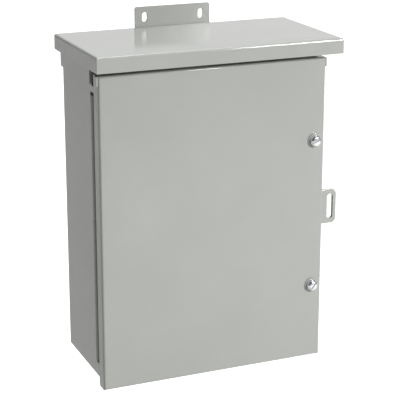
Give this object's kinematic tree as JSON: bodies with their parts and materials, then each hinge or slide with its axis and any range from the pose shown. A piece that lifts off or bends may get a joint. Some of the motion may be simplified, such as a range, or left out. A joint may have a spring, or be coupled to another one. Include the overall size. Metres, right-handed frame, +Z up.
{
  "type": "subpanel enclosure",
  "caption": "Wall-mounted sheet-steel enclosure with a drip-shield hood, a side-hinged door with quarter-turn latches and a padlock hasp, and an inner subpanel.",
  "frame": {"origin": "on the wall plane, on the upper mounting bracket's back face, midway between its two slots", "axes": "+Z up and along the height; +Y out of the back, into the wall; +X to the right of a person who faces the door, towards the latches"},
  "size_m": [0.3437, 0.1727, 0.476],
  "materials": {
    "grey_powder_coat": "semi-gloss light grey powder coat with a fine orange peel",
    "plated_latch": "bright nickel plate",
    "zinc_plate": "clear zinc plate, satin",
    "stainless_steel": "drawn stainless rod",
    "white_enamel": "white enamel, satin"
  },
  "bodies": {
    "cabinet": {"body_shell": "grey_powder_coat", "top_pan": "grey_powder_coat", "bottom_pan": "grey_powder_coat", "drip_shield": "grey_powder_coat", "upper_mounting_bracket": "grey_powder_coat", "lower_mounting_bracket": "grey_powder_coat", "body_staple": "grey_powder_coat", "hinge_body_leaf": "grey_powder_coat", "hinge_pin": "stainless_steel", "subpanel": "white_enamel", "upper_left_collar_stud": "zinc_plate", "upper_left_panel_washer": "zinc_plate", "upper_left_panel_nut": "zinc_plate", "upper_right_collar_stud": "zinc_plate", "upper_right_panel_washer": "zinc_plate", "upper_right_panel_nut": "zinc_plate", "lower_left_collar_stud": "zinc_plate", "lower_left_panel_washer": "zinc_plate", "lower_left_panel_nut": "zinc_plate", "lower_right_collar_stud": "zinc_plate", "lower_right_panel_washer": "zinc_plate", "lower_right_panel_nut": "zinc_plate", "ground_stud": "zinc_plate", "ground_washer": "zinc_plate", "ground_nut": "zinc_plate"},
    "door": {"door_pan": "grey_powder_coat", "door_hasp": "grey_powder_coat", "hinge_door_leaf": "grey_powder_coat", "upper_latch_retainer": "zinc_plate", "lower_latch_retainer": "zinc_plate", "door_bond_stud": "zinc_plate", "door_bond_nut": "zinc_plate"},
    "upper_latch": {"upper_latch_head": "plated_latch", "upper_latch_cam": "zinc_plate", "upper_latch_cam_nut": "zinc_plate"},
    "lower_latch": {"lower_latch_head": "plated_latch", "lower_latch_cam": "zinc_plate", "lower_latch_cam_nut": "zinc_plate"}
  },
  "joints": [
    {"name": "door_hinge", "type": "hinge", "parent": "cabinet", "child": "door", "pos_m": [-0.1512, -0.119, -0.2429], "axis": [0, 0, -1], "range_deg": [0, 140]},
    {"name": "upper_latch_turn", "type": "hinge", "parent": "door", "child": "upper_latch", "pos_m": [0.1382, -0.1275, -0.1488], "axis": [0, -1, 0], "range_deg": [0, 90]},
    {"name": "lower_latch_turn", "type": "hinge", "parent": "door", "child": "lower_latch", "pos_m": [0.1382, -0.1275, -0.3463], "axis": [0, -1, 0], "range_deg": [0, 90]}
  ]
}
